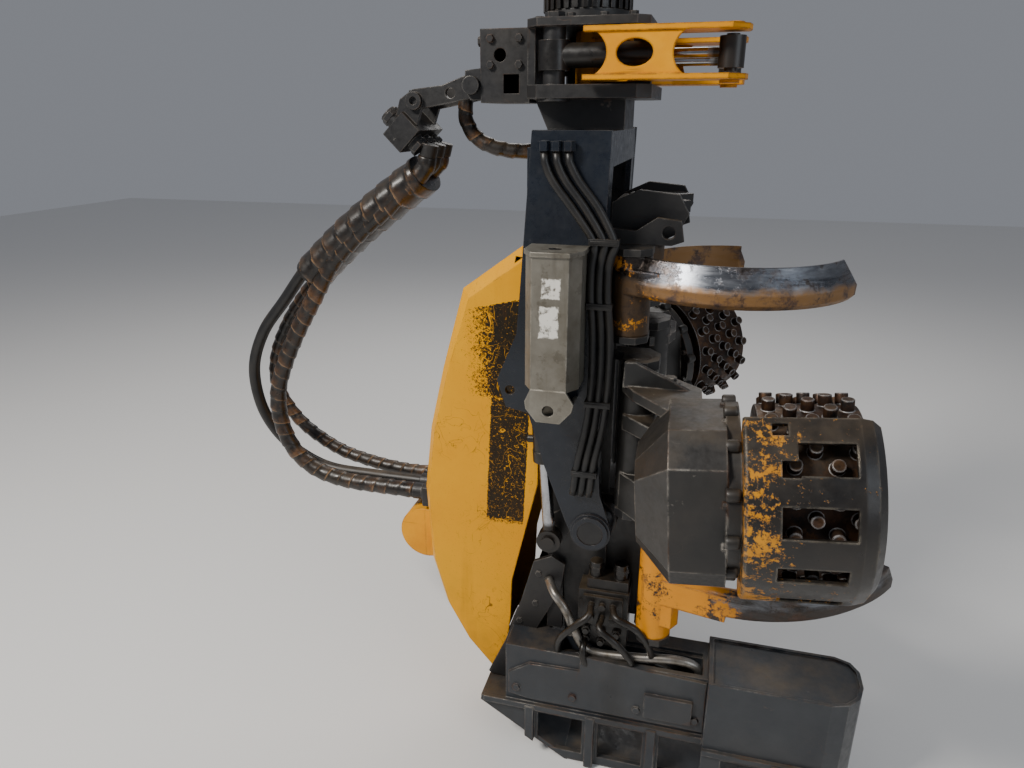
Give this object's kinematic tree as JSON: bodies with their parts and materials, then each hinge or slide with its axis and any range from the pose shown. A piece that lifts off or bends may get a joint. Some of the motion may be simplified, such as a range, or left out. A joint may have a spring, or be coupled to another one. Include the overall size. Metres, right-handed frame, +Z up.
{
  "type": "harvester head",
  "caption": "Tree harvester head hung upright from a rotator: tilt frame, yellow back cover, studded feed rollers with windowed guards, curved knives, gathering arms and a saw box below",
  "frame": {"origin": "middle of the hanger's bore for the crane link pin, on the rotator's axis", "axes": "+Z up, +X to the side where the tree stands, +Y along the link pin, away from the picture's side"},
  "size_m": [1.8035, 1.4355, 2.3005],
  "materials": {
    "frame_paint": "worn dark grey paint with scratches and dust",
    "leg_paint": "smooth blue-grey paint",
    "yellow_paint": "amber yellow paint, scuffed and scratched",
    "guard_paint": "silver grey paint with chips",
    "cast_black": "cast and painted, oily",
    "worn_steel": "polished by bark on the faces, rusty below",
    "chrome": "chromed rod",
    "hose": "rubber hose in a black spiral wrap"
  },
  "bodies": {
    "hanger": {"hanger": "frame_paint", "rotator_body": "cast_black"},
    "tilt_frame": {"bracket": "frame_paint", "hose_box": "frame_paint", "hose_manifold": "frame_paint", "yoke": "leg_paint", "accumulator": "cast_black", "accu_guard": "guard_paint", "loop_hose_a": "hose", "loop_hose_b": "hose", "loop_hose_c": "hose", "leg_hose_a": "hose", "leg_hose_b": "hose", "leg_hose_c": "hose", "column_hose": "hose"},
    "gather_arm_near": {"gather_arm_near": "yellow_paint"},
    "gather_arm_far": {"gather_arm_far": "yellow_paint"},
    "gather_barrel_near": {"gather_barrel_near": "frame_paint"},
    "gather_barrel_far": {"gather_barrel_far": "frame_paint"},
    "gather_rod_near": {"gather_rod_near": "chrome"},
    "gather_rod_far": {"gather_rod_far": "chrome"},
    "tilt_barrels": {"tilt_barrels": "frame_paint"},
    "tilt_rods": {"tilt_rods": "chrome"},
    "head": {"frame": "frame_paint", "cover": "yellow_paint", "fittings": "yellow_paint", "top_knife": "frame_paint", "valve_block": "cast_black", "measuring_arm": "frame_paint", "saw_box": "frame_paint", "saw_motor": "cast_black"},
    "measuring_wheel": {"measuring_wheel": "worn_steel"},
    "upper_knife_near": {"upper_knife_near": "worn_steel"},
    "upper_knife_far": {"upper_knife_far": "worn_steel"},
    "lower_knife_near": {"lower_knife_near": "worn_steel"},
    "lower_knife_far": {"lower_knife_far": "worn_steel"},
    "roller_arm_near": {"roller_arm_near": "cast_black", "roller_guard_near": "frame_paint"},
    "roller_arm_far": {"roller_arm_far": "cast_black", "roller_guard_far": "frame_paint"},
    "feed_roller_near": {"feed_roller_near": "worn_steel"},
    "feed_roller_far": {"feed_roller_far": "worn_steel"},
    "saw_bar": {"saw_bar": "worn_steel"}
  },
  "joints": [
    {"name": "rotator", "type": "hinge", "parent": "hanger", "child": "tilt_frame", "pos_m": [0, 0, -0.32], "axis": [0, 0, 1], "continuous": true},
    {"name": "tilt", "type": "hinge", "parent": "tilt_frame", "child": "head", "pos_m": [0.088, 0, -1.505], "axis": [0, 1, 0], "range_deg": [0, 90], "deforming": ["loop_hose_a", "loop_hose_b", "loop_hose_c"]},
    {"name": "tilt_barrel_pin", "type": "hinge", "parent": "tilt_frame", "child": "tilt_barrels", "pos_m": [-0.06, 0, -1.05], "axis": [0, 1, 0], "range_deg": [-8, 1]},
    {"name": "tilt_rod_slide", "type": "slide", "parent": "tilt_barrels", "child": "tilt_rods", "axis": [0.0669, 0, -0.9978], "range_m": [-0.179, 0.001]},
    {"name": "gather_near", "type": "hinge", "parent": "tilt_frame", "child": "gather_arm_near", "pos_m": [0.01, -0.032, 0], "axis": [0, 0, 1], "range_deg": [-55, 0]},
    {"name": "gather_far", "type": "hinge", "parent": "tilt_frame", "child": "gather_arm_far", "pos_m": [0.01, 0.032, 0], "axis": [0, 0, 1], "range_deg": [0, 55]},
    {"name": "gather_barrel_near_pin", "type": "hinge", "parent": "tilt_frame", "child": "gather_barrel_near", "pos_m": [-0.048, -0.13, 0], "axis": [0, 0, 1], "range_deg": [-54, 1]},
    {"name": "gather_barrel_far_pin", "type": "hinge", "parent": "tilt_frame", "child": "gather_barrel_far", "pos_m": [-0.048, 0.13, 0], "axis": [0, 0, 1], "range_deg": [-1, 54]},
    {"name": "gather_rod_near_slide", "type": "slide", "parent": "gather_barrel_near", "child": "gather_rod_near", "axis": [0.9996, -0.0272, 0], "range_m": [-0.107, 0.001]},
    {"name": "gather_rod_far_slide", "type": "slide", "parent": "gather_barrel_far", "child": "gather_rod_far", "axis": [0.9996, 0.0272, 0], "range_m": [-0.107, 0.001]},
    {"name": "upper_knife_near", "type": "hinge", "parent": "head", "child": "upper_knife_near", "pos_m": [0.15, -0.19, 0], "axis": [0, 0, 1], "range_deg": [-50, 10]},
    {"name": "upper_knife_far", "type": "hinge", "parent": "head", "child": "upper_knife_far", "pos_m": [0.15, 0.19, 0], "axis": [0, 0, 1], "range_deg": [-72, 3]},
    {"name": "lower_knife_near", "type": "hinge", "parent": "head", "child": "lower_knife_near", "pos_m": [0.255, -0.205, 0], "axis": [0, 0, 1], "range_deg": [-50, 10]},
    {"name": "lower_knife_far", "type": "hinge", "parent": "head", "child": "lower_knife_far", "pos_m": [0.255, 0.205, 0], "axis": [0, 0, 1], "range_deg": [-44, 16]},
    {"name": "roller_arm_near", "type": "hinge", "parent": "head", "child": "roller_arm_near", "pos_m": [0.18, -0.188, 0], "axis": [0, 0, 1], "range_deg": [-25, 10]},
    {"name": "roller_arm_far", "type": "hinge", "parent": "head", "child": "roller_arm_far", "pos_m": [0.18, 0.188, 0], "axis": [0, 0, 1], "range_deg": [-59, 0]},
    {"name": "feed_roller_near", "type": "hinge", "parent": "roller_arm_near", "child": "feed_roller_near", "pos_m": [0.535, -0.4, -1.243], "axis": [0.9963, 0.0348, 0.0785], "continuous": true},
    {"name": "feed_roller_far", "type": "hinge", "parent": "roller_arm_far", "child": "feed_roller_far", "pos_m": [0.2529, 0.59501, -1.243], "axis": [0.6799, 0.7291, 0.0785], "continuous": true},
    {"name": "measuring_wheel", "type": "hinge", "parent": "head", "child": "measuring_wheel", "pos_m": [0.19, 0, -1.498], "axis": [0, 1, 0], "continuous": true},
    {"name": "saw_bar", "type": "hinge", "parent": "head", "child": "saw_bar", "pos_m": [-0.06, -0.108, -2.115], "axis": [0, 0, 1], "range_deg": [0, 60]}
  ],
  "couplings": [
    {"joint": "tilt_barrel_pin", "follows": "tilt", "ratio": -0.075},
    {"joint": "tilt_rod_slide", "follows": "tilt", "m_per_rad": -0.113},
    {"joint": "gather_far", "follows": "gather_near", "ratio": -1},
    {"joint": "gather_barrel_near_pin", "follows": "gather_near", "ratio": 0.955},
    {"joint": "gather_barrel_far_pin", "follows": "gather_near", "ratio": -0.955},
    {"joint": "gather_rod_near_slide", "follows": "gather_near", "m_per_rad": 0.1095},
    {"joint": "gather_rod_far_slide", "follows": "gather_near", "m_per_rad": 0.1095}
  ]
}
